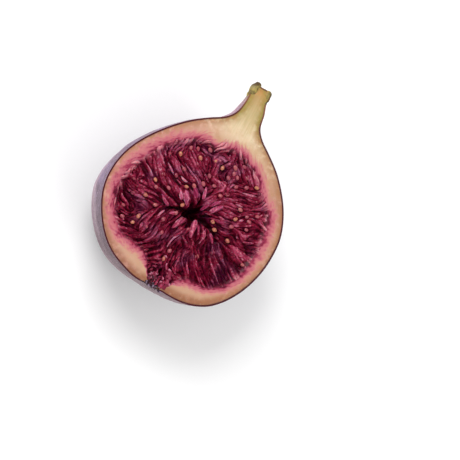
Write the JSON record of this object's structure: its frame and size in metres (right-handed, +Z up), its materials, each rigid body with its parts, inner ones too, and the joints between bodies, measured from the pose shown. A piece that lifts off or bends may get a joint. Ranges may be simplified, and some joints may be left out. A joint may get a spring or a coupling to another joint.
{
  "type": "fresh fig half",
  "caption": "Half of a ripe dark-skinned fig cut lengthwise, with its stalk, pale flesh, eye and seedy red pulp round an empty middle.",
  "frame": {"origin": "on the surface the half fig lies on, under the middle of its outline", "axes": "+Z up, out of the cut face; +Y from the eye to the end of the stalk; +X across the cut face"},
  "size_m": [0.0504, 0.0613, 0.0247],
  "materials": {
    "skin": "dark purple skin with a pale waxy bloom",
    "flesh": "moist cream flesh, pink where it meets the pulp",
    "pulp": "wet crimson strands and drops",
    "seed": "smooth golden seeds in a film of juice",
    "stalk": "dull olive stalk with a brown scar"
  },
  "bodies": {
    "root": {"fig_half": "skin"}
  },
  "joints": []
}
